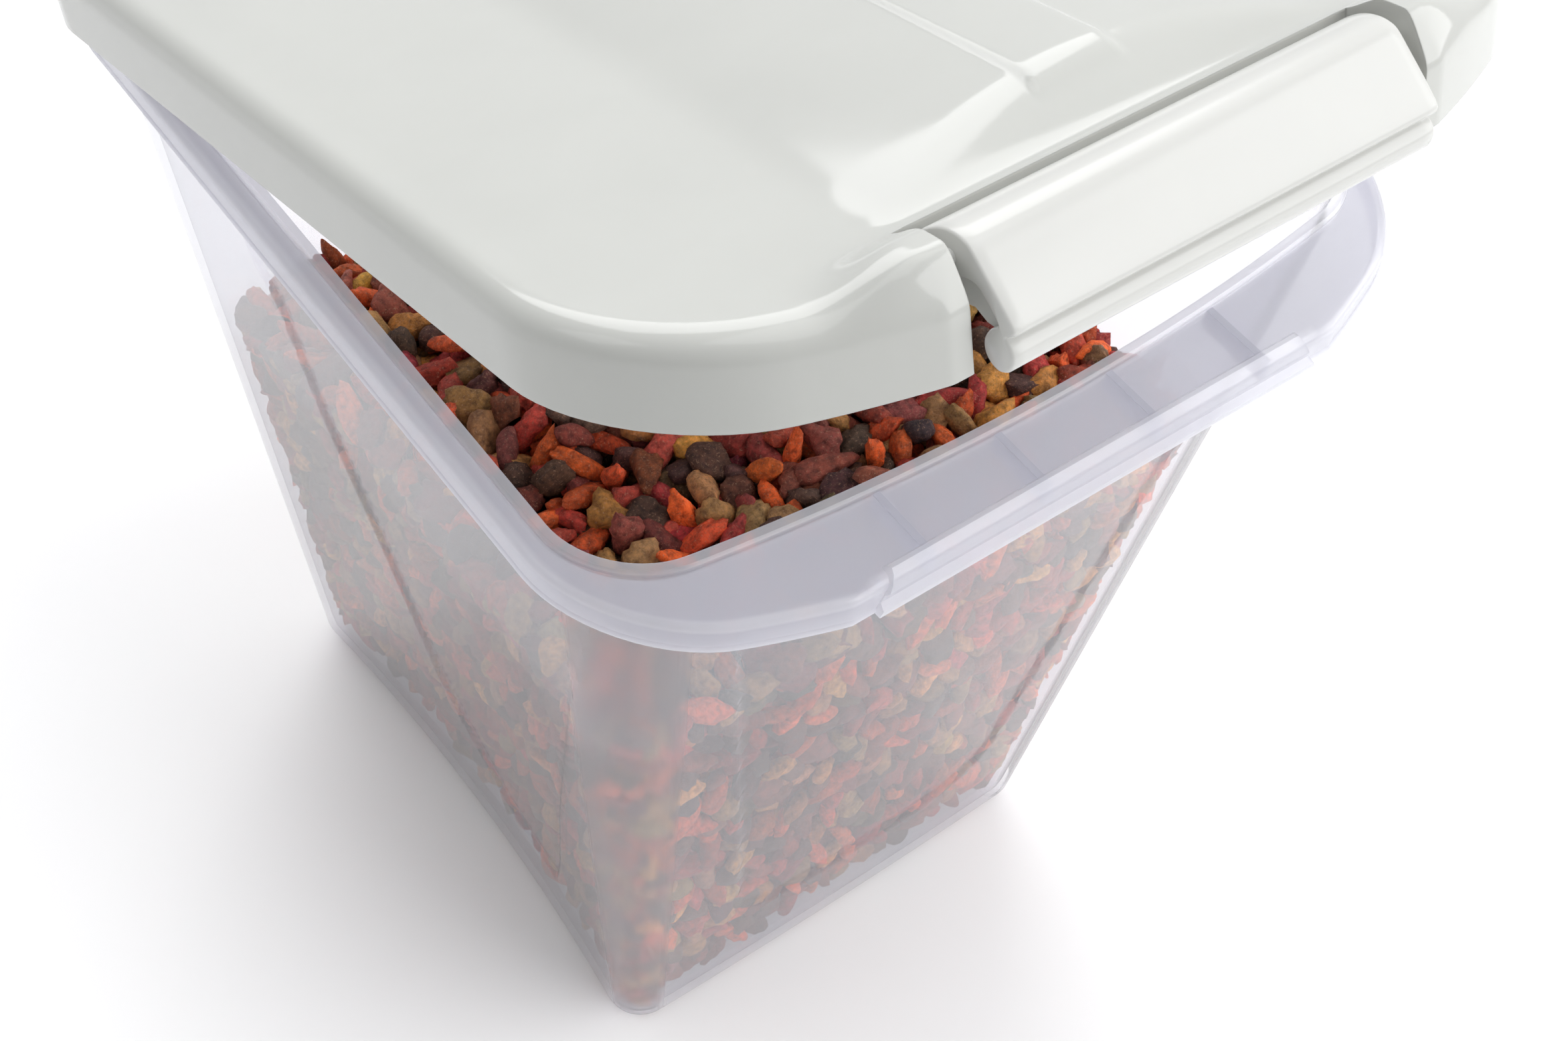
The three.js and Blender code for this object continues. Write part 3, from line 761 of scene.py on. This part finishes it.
def feed_level(x, y):
    """Height of the top of the feed."""
    slope = np.interp(y, (-140, -80, 0, 60, 95, 140), (187, 190, 187, 174, 164, 160))
    return slope + 2.5 * np.sin(x / 31 + 1) + 1.8 * np.sin(y / 23)


def wall_sites():
    """Places and normals of the pieces that lie against the inside of the wall."""
    sites = []
    for layer, count, back in WALL_LAYERS:
        around = ring(wall(95), 14, 60, 50)
        length = np.linalg.norm(np.roll(around, -1, 0) - around, axis=1).sum()
        start = np.column_stack([rng.uniform(0, length, count), rng.uniform(6, 190, count)])

        def hold(p):
            return np.column_stack([p[:, 0] % length, np.clip(p[:, 1], 7, 196)])

        for s, z in spread(start, FEED_SPACING + layer * 1.2, hold, 25):
            depth = WALL + PANEL_DEPTH + back + rng.uniform(-0.4, 1.6)
            outline = ring(inset(wall(z), depth), 14, 60, 50)
            i = int(s / length * len(outline))
            x, y = outline[i]
            if z > feed_level(x, y) - 1:
                continue
            along = outline[(i + 1) % len(outline)] - outline[i - 1]
            normal = np.array([along[1], -along[0], 0]) / np.linalg.norm(along)
            sites.append(((x, y, z), normal, 0.5 + 0.3 * layer, layer))
    return sites


def top_sites():
    """Places of the pieces on top of the feed, in three layers."""
    sites = []
    for layer, count, gap in TOP_LAYERS:
        area = inset(wall(185), WALL + 6 + layer)

        def hold(p):
            q = p.copy()
            q[:, 0] = np.clip(q[:, 0], -area["half"], area["half"])
            q[:, 1] = np.clip(q[:, 1], area["front"] - 0.6 * area["bow"], area["back"])
            return q

        start = np.column_stack([rng.uniform(-95, 95, count), rng.uniform(-112, 98, count)])
        for x, y in spread(start, gap, hold, 25):
            z = feed_level(x, y) - layer * TOP_LAYER_DROP + rng.uniform(-1.8, 2.2)
            sites.append(((x, y, z), (0, 0, 1), 0.95, layer))
    return sites


def make_feed(name, sites, detail, smallest, largest):
    """One object of loose pieces; detail is a globe's segments and rings for each layer."""
    shares = np.array([k[0] for k in KIBBLE])
    globes = [globe(*d) for d in detail]
    verts, faces, colours, offset = [], [], [], 0
    for place, normal, tilt, layer in sites:
        directions, unit_faces = globes[min(layer, len(globes) - 1)]
        _, colour, size, kind = KIBBLE[rng.choice(len(KIBBLE), p=shares / shares.sum())]
        piece = kibble_shape(directions, kind, np.array(size) * rng.uniform(smallest, largest))
        piece = settle(piece @ frame_of(normal, tilt).T + place)
        verts.append(piece)
        faces += [[i + offset for i in f] for f in unit_faces]
        varied = np.array(colour) * rng.normal(1, 0.1) + rng.normal(0, 5, 3)
        tint = linear(np.clip(varied, 8, 240)) * TINT_GAIN
        colours.append(np.tile([*tint, 1], (len(piece), 1)))
        offset += len(piece)
    obj = new_object(name, np.concatenate(verts), faces, sharp_deg=80)
    tint = obj.data.color_attributes.new("tint", "FLOAT_COLOR", "POINT")
    tint.data.foreach_set("color", np.concatenate(colours).astype(np.float32).ravel())
    return obj


def make_core():
    """Dark filling under the outer pieces, so that no gap shows through the heap; its near-black tint
    is painted shade, standing in for the shade deep inside the heap.
    """
    rings = []
    for z in np.linspace(12, 160, 12):
        rings.append(at_height(ring(inset(wall(z), 16), 6, 12, 12), z))
    for distance in (22, 40, 70):
        p = ring(inset(wall(160), distance), 6, 12, 12)
        rings.append(at_height(p, np.minimum(feed_level(p[:, 0], p[:, 1]) - 17, 172)))
    return new_object("feed_core", *loft(rings))


# ---- materials ---------------------------------------------------------------------------------


class Nodes:
    """Short way to build a material's node tree."""

    def __init__(self, name):
        self.material = bpy.data.materials.new(name)
        self.material.use_nodes = True
        self.tree = self.material.node_tree
        self.tree.nodes.clear()
        self.out = self.add("ShaderNodeOutputMaterial")

    def add(self, kind, props=None, **inputs):
        """New node; an input is named by its label, or by its number after an underscore."""
        node = self.tree.nodes.new(kind)
        for key, value in (props or {}).items():
            setattr(node, key, value)
        for key, value in inputs.items():
            label = int(key[1:]) if key[0] == "_" else key.replace("_", " ")
            socket = node.inputs[label]
            if isinstance(value, bpy.types.NodeSocket):
                self.tree.links.new(value, socket)
            else:
                socket.default_value = value
        return node

    def noise(self, scale, detail=3.0, roughness=0.55):
        place = self.add("ShaderNodeTexCoord")
        return self.add(
            "ShaderNodeTexNoise", Vector=place.outputs["Object"],
            Scale=scale, Detail=detail, Roughness=roughness,
        )

    def calculate(self, operation, *values):
        """Result of a Math node on links or numbers."""
        inputs = {f"_{i}": value for i, value in enumerate(values)}
        return self.add("ShaderNodeMath", {"operation": operation}, **inputs).outputs[0]

    def attribute(self, name):
        return self.add("ShaderNodeAttribute", {"attribute_name": name})

    def ramp(self, value, stops):
        node = self.add("ShaderNodeValToRGB", Fac=value)
        elements = node.color_ramp.elements
        for element, (position, colour) in zip(elements, (stops[0], stops[-1])):
            element.position = position
            element.color = (*colour, 1)
        for position, colour in stops[1:-1]:
            elements.new(position).color = (*colour, 1)
        return node.outputs["Color"]

    def blend(self, share, first, second):
        """Colour between a linked first colour and a fixed second one."""
        node = self.add("ShaderNodeMix", {"data_type": "RGBA"})
        self.tree.links.new(share, node.inputs["Factor"])
        self.tree.links.new(first, node.inputs["A"])
        node.inputs["B"].default_value = second
        return node.outputs["Result"]

    def mix_colours(self, share, first, second, kind="MIX"):
        """Two linked colours mixed by a fixed share."""
        node = self.add("ShaderNodeMix", {"data_type": "RGBA", "blend_type": kind})
        node.inputs["Factor"].default_value = share
        self.tree.links.new(first, node.inputs["A"])
        self.tree.links.new(second, node.inputs["B"])
        return node.outputs["Result"]

    def finish(self, shader):
        self.tree.links.new(shader, self.out.inputs["Surface"])
        return self.material


def gloss_plastic(name, colour, roughness, edge=0.7):
    """Glossy moulded plastic: faint cloudiness, slight waviness and softened edges."""
    n = Nodes(name)
    cloud = n.noise(26, 4)
    light, dark = np.array(colour), np.array(colour) * 0.965
    tone = n.ramp(cloud.outputs["Fac"], [(0.3, dark), (0.7, light)])
    rough = n.add(
        "ShaderNodeMapRange", Value=cloud.outputs["Fac"],
        To_Min=roughness * 0.85, To_Max=roughness * 1.2,
    )
    soft = n.add("ShaderNodeBevel", {"samples": 4}, Radius=edge * MM)
    wave = n.noise(60, 2)
    bump = n.add(
        "ShaderNodeBump", Strength=0.03, Distance=0.0003, Height=wave.outputs["Fac"],
        Normal=soft.outputs["Normal"],
    )
    shader = n.add(
        "ShaderNodeBsdfPrincipled", Base_Color=tone, Roughness=rough.outputs[0],
        Normal=bump.outputs["Normal"],
    )
    shader.inputs["Specular IOR Level"].default_value = 0.5
    shader.inputs["Subsurface Weight"].default_value = 0.12
    shader.inputs["Subsurface Radius"].default_value = (1.0, 0.95, 0.8)
    shader.inputs["Subsurface Scale"].default_value = 0.002
    return n.finish(shader.outputs[0])


MILKY = ((0.85, 0.87, 0.92), (0.9, 0.92, 0.96))
RIM_MILKY = (0.56, 0.56, 0.63, 1)
# Painted highlight: near-white veil tone for the edges that "bead" marks.
PAINTED_EDGE_HIGHLIGHT = (0.96, 0.96, 0.99, 1)
CLEAR_TINT = (0.98, 0.98, 1.0, 1)
GLOW_TINT = (0.84, 0.84, 0.88, 1)
VEIL_LEAST = 0.172
VEIL_EDGE_ON = 0.075
VEIL_THICK = 0.55
VEIL_IN_SHADOW_RAYS = 0.4
BLUR_LEAST = 0.03
BLUR_HAZE = 0.75


def tub_plastic():
    """Translucent polypropylene: a milky veil over what is behind it.

    The veil thickens where the wall is seen edge-on and where the attribute "thick" says so, and
    "bead" whitens it as a painted highlight along the edges. What is behind is blurred where "haze"
    marks the corners and the flange.
    """
    n = Nodes("tub_plastic")
    cloud = n.noise(18, 3)
    milk = n.ramp(cloud.outputs["Fac"], [(0.3, MILKY[0]), (0.7, MILKY[1])])
    thick = n.attribute("thick").outputs["Fac"]
    bead = n.attribute("bead").outputs["Fac"]
    rim = n.add("ShaderNodeMapRange", Value=thick, From_Min=0.1, From_Max=0.6).outputs[0]
    # Painted highlight: "bead" lifts the veil tone towards near white on the edges.
    veil_tone = n.blend(bead, n.blend(rim, milk, RIM_MILKY), PAINTED_EDGE_HIGHLIGHT)
    streak = n.noise(240, 2)
    bump = n.add("ShaderNodeBump", Strength=0.06, Distance=0.0003, Height=streak.outputs["Fac"])
    normal = bump.outputs["Normal"]
    skin = n.add("ShaderNodeBsdfPrincipled", Base_Color=veil_tone, Roughness=0.3, Normal=normal)
    glow = n.add("ShaderNodeBsdfTranslucent", Color=GLOW_TINT)
    veil = n.add("ShaderNodeMixShader", _0=0.35, _1=skin.outputs[0], _2=glow.outputs[0])

    shadow = n.add("ShaderNodeLightPath").outputs["Is Shadow Ray"]
    seen = n.calculate("SUBTRACT", 1.0, shadow)
    haze = n.attribute("haze").outputs["Fac"]
    blurred = n.calculate("MULTIPLY", n.calculate("MULTIPLY_ADD", haze, BLUR_HAZE, BLUR_LEAST), seen)
    clear = n.add("ShaderNodeBsdfTransparent", Color=CLEAR_TINT)
    blur = n.add("ShaderNodeBsdfRefraction", Color=CLEAR_TINT, Roughness=0.3, IOR=1.1)
    behind = n.add("ShaderNodeMixShader", _0=blurred, _1=clear.outputs[0], _2=blur.outputs[0])

    edge_on = n.add("ShaderNodeLayerWeight", Blend=0.35).outputs["Facing"]
    amount = n.calculate("MULTIPLY_ADD", edge_on, VEIL_EDGE_ON, VEIL_LEAST)
    amount = n.calculate("MULTIPLY_ADD", thick, VEIL_THICK, amount)
    kept = n.calculate("MULTIPLY_ADD", shadow, VEIL_IN_SHADOW_RAYS - 1, 1.0)
    amount = n.calculate("MULTIPLY", amount, kept)
    body = n.add("ShaderNodeMixShader", _0=amount, _1=behind.outputs[0], _2=veil.outputs[0])

    backfacing = n.add("ShaderNodeNewGeometry").outputs["Backfacing"]
    outside = n.calculate("SUBTRACT", 1.0, backfacing)
    fresnel = n.add("ShaderNodeFresnel", IOR=1.42).outputs[0]
    mirror = n.calculate("MULTIPLY", n.calculate("MULTIPLY", fresnel, seen), outside)
    gloss = n.add("ShaderNodeBsdfGlossy", Roughness=0.14, Normal=normal)
    coated = n.add("ShaderNodeMixShader", _0=mirror, _1=body.outputs[0], _2=gloss.outputs[0])
    return n.finish(coated.outputs[0])


# Multiplier on each piece's colour: partly crust tone that varies at random, partly painted shade in
# the pores, where the same noise makes the bump low.
CRUST_TONE_AND_PORE_SHADE = [(0.33, (0.3, 0.27, 0.25)), (0.5, (0.85, 0.84, 0.8)), (0.66, (1.4, 1.32, 1.2))]
DUST = (0.62, 0.36, 0.22, 1)
DUST_SHARE = 0.45


def kibble_material():
    """Baked crust: piece colour, tone that varies at random with painted shade in the pores, pale
    dust and a rough surface.
    """
    n = Nodes("kibble")
    tint = n.attribute("tint").outputs["Color"]
    pores_and_blotches = n.noise(480, 5, 0.68).outputs["Fac"]
    grain = n.noise(1500, 4, 0.75).outputs["Fac"]
    # Painted shade: the crust darkens where the noise sinks the bump into pores, on top of its random
    # tone.
    base = n.mix_colours(0.85, tint, n.ramp(pores_and_blotches, CRUST_TONE_AND_PORE_SHADE), "MULTIPLY")
    specks = n.ramp(grain, [(0.57, (0, 0, 0)), (0.66, (1, 1, 1))])
    crust_tone = n.mix_colours(DUST_SHARE, base, n.blend(specks, base, DUST))
    pores = n.add("ShaderNodeBump", Strength=1.0, Distance=0.001, Height=pores_and_blotches)
    fine = n.add(
        "ShaderNodeBump", Strength=0.8, Distance=0.0004, Height=grain, Normal=pores.outputs["Normal"],
    )
    shader = n.add(
        "ShaderNodeBsdfPrincipled", Base_Color=crust_tone, Roughness=0.62,
        Normal=fine.outputs["Normal"],
    )
    shader.inputs["Specular IOR Level"].default_value = 0.35
    return n.finish(shader.outputs[0])


def seal_rubber():
    """Soft matt rubber."""
    n = Nodes("seal_rubber")
    grain = n.noise(420, 2)
    tone = n.ramp(grain.outputs["Fac"], [(0.3, (0.55, 0.55, 0.53)), (0.7, (0.62, 0.62, 0.6))])
    bump = n.add("ShaderNodeBump", Strength=0.15, Distance=0.0002, Height=grain.outputs["Fac"])
    shader = n.add(
        "ShaderNodeBsdfPrincipled", Base_Color=tone, Roughness=0.7, Normal=bump.outputs["Normal"],
    )
    return n.finish(shader.outputs[0])


def floor_material():
    n = Nodes("floor")
    shader = n.add("ShaderNodeBsdfPrincipled", Base_Color=(0.93, 0.93, 0.93, 1), Roughness=0.9)
    return n.finish(shader.outputs[0])


def dress(obj, material):
    """Give an object one material."""
    obj.data.materials.clear()
    obj.data.materials.append(material)


# ---- stage ---------------------------------------------------------------------------------------


LIGHT_TARGET = (0, 0, 0.25)
SOFTBOXES = [
    # name, azimuth, elevation, distance, size, radiance
    ("back_softbox", 20, 46, 2.0, (1.8, 1.26), 3.2),
    ("right_softbox", 138, 28, 2.0, (2.2, 1.6), 2.7),
    ("left_softbox", -70, 40, 1.9, (0.7, 0.7), 1.0),
    ("top_softbox", 150, 84, 2.2, (1.7, 1.7), 1.1),
]
WORLD_TINT = (0.97, 0.98, 1.0, 1)
WORLD_BRIGHT_SIDE = (0.56, 0.5, 0.66)
WORLD_DIM, WORLD_BRIGHT = 0.3, 0.8
FLOOR_HALF = 30000

CAMERA_PLACE = (-0.2681, -0.3460, 0.6626)
CAMERA_AZIMUTH = 42.13
CAMERA_ELEVATION = 51.96
CAMERA_ROLL = 6.756
CAMERA_LENS = 53.91
CAMERA_SENSOR = 36


def aim(azimuth_deg, elevation_deg, distance):
    """Point seen from the object at an azimuth from +Y towards +X and a height above level."""
    azimuth, elevation = math.radians(azimuth_deg), math.radians(elevation_deg)
    level = math.cos(elevation) * distance
    height = math.sin(elevation) * distance + LIGHT_TARGET[2]
    return (math.sin(azimuth) * level, math.cos(azimuth) * level, height)


def area_light(name, place, size, power):
    """Rectangular light that faces the object."""
    data = bpy.data.lights.new(name, "AREA")
    data.shape = "RECTANGLE"
    data.size, data.size_y = size
    data.energy = power
    light = bpy.data.objects.new(name, data)
    light.location = place
    towards = Vector(LIGHT_TARGET) - Vector(place)
    light.rotation_euler = towards.to_track_quat("-Z", "Y").to_euler()
    bpy.context.scene.collection.objects.link(light)


def make_floor():
    half = FLOOR_HALF
    corners = [(-half, -half, 0), (half, -half, 0), (half, half, 0), (-half, half, 0)]
    floor = new_object("floor", corners, [(0, 1, 2, 3)])
    dress(floor, floor_material())


def make_world():
    """Pale surroundings, brighter towards one side."""
    world = bpy.data.worlds.new("studio")
    bpy.context.scene.world = world
    world.use_nodes = True
    tree = world.node_tree
    background = tree.nodes["Background"]
    background.inputs["Color"].default_value = WORLD_TINT
    towards = tree.nodes.new("ShaderNodeVectorMath")
    towards.operation = "DOT_PRODUCT"
    towards.inputs[1].default_value = WORLD_BRIGHT_SIDE
    level = tree.nodes.new("ShaderNodeMapRange")
    level.inputs["From Min"].default_value = -0.6
    level.inputs["From Max"].default_value = 0.9
    level.inputs["To Min"].default_value = WORLD_DIM
    level.inputs["To Max"].default_value = WORLD_BRIGHT
    direction = tree.nodes.new("ShaderNodeTexCoord").outputs["Generated"]
    tree.links.new(direction, towards.inputs[0])
    tree.links.new(towards.outputs["Value"], level.inputs["Value"])
    tree.links.new(level.outputs["Result"], background.inputs["Strength"])


def make_stage():
    make_floor()
    make_world()
    for name, azimuth, elevation, distance, size, radiance in SOFTBOXES:
        power = radiance * math.pi * size[0] * size[1]
        area_light(name, aim(azimuth, elevation, distance), size, power)
    bpy.context.scene.view_settings.view_transform = "Standard"


def make_camera():
    data = bpy.data.cameras.new("camera")
    data.lens = CAMERA_LENS
    data.sensor_width = CAMERA_SENSOR
    camera = bpy.data.objects.new("camera", data)
    azimuth, elevation = math.radians(CAMERA_AZIMUTH), math.radians(CAMERA_ELEVATION)
    roll = math.radians(CAMERA_ROLL)
    level = math.cos(elevation)
    forward = Vector((math.sin(azimuth) * level, math.cos(azimuth) * level, -math.sin(elevation)))
    level_right = forward.cross(Vector((0, 0, 1))).normalized()
    level_down = forward.cross(level_right)
    right = level_right * math.cos(roll) - level_down * math.sin(roll)
    up = right.cross(forward)
    turn = Matrix((right, up, -forward)).transposed().to_4x4()
    camera.matrix_world = Matrix.Translation(CAMERA_PLACE) @ turn
    bpy.context.scene.collection.objects.link(camera)
    bpy.context.scene.camera = camera


# ---- assembly ------------------------------------------------------------------------------------

make_camera()
make_stage()

lid_white = gloss_plastic("lid_white", (0.53, 0.535, 0.508), roughness=0.09)
latch_white = gloss_plastic("latch_white", (0.61, 0.61, 0.585), roughness=0.2, edge=0.4)
pin_white = gloss_plastic("pin_white", (0.7, 0.7, 0.68), roughness=0.25, edge=0.2)
frosted = tub_plastic()
crust = kibble_material()

tub = make_tub()
dress(tub, frosted)
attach(tub, "bin")
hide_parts("bin")

lid = make_lid()
dress(lid, lid_white)
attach(lid, "lid")
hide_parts("lid")

latch = make_latch()
dress(latch, latch_white)
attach(latch, "latch")
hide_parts("latch")

tops = top_sites()
on_top = [site for site in tops if site[3] == 0]
below = [site for site in tops if site[3] > 0]
heap = make_feed("feed_heap", on_top, TOP_DETAIL, *TOP_SIZES)
under = make_feed("feed_under", below, UNDER_DETAIL, *TOP_SIZES)
edges = wall_sites()
in_front = [site for site in edges if site[0][1] < FRONT_FEED_END]
behind = [site for site in edges if site[0][1] >= FRONT_FEED_END]
front = make_feed("feed_front", in_front, WALL_DETAIL, *WALL_SIZES)
back = make_feed("feed_back", behind, WALL_DETAIL, *WALL_SIZES)
core = make_core()
for piece in (heap, under, front, back, core):
    dress(piece, crust)
    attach(piece, "bin")
# The filling's tint is painted shade, darker than any piece's own colour.
core_shade = core.data.color_attributes.new("tint", "FLOAT_COLOR", "POINT")
core_shade.data.foreach_set("color", np.tile(PAINTED_CORE_SHADE, len(core.data.vertices)))
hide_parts("feed")

for node in ("hinge_pin_left", "hinge_pin_right", "latch_rod"):
    dress(frame["nodes"][node], pin_white)
dress(frame["nodes"]["lid_gasket"], seal_rubber())
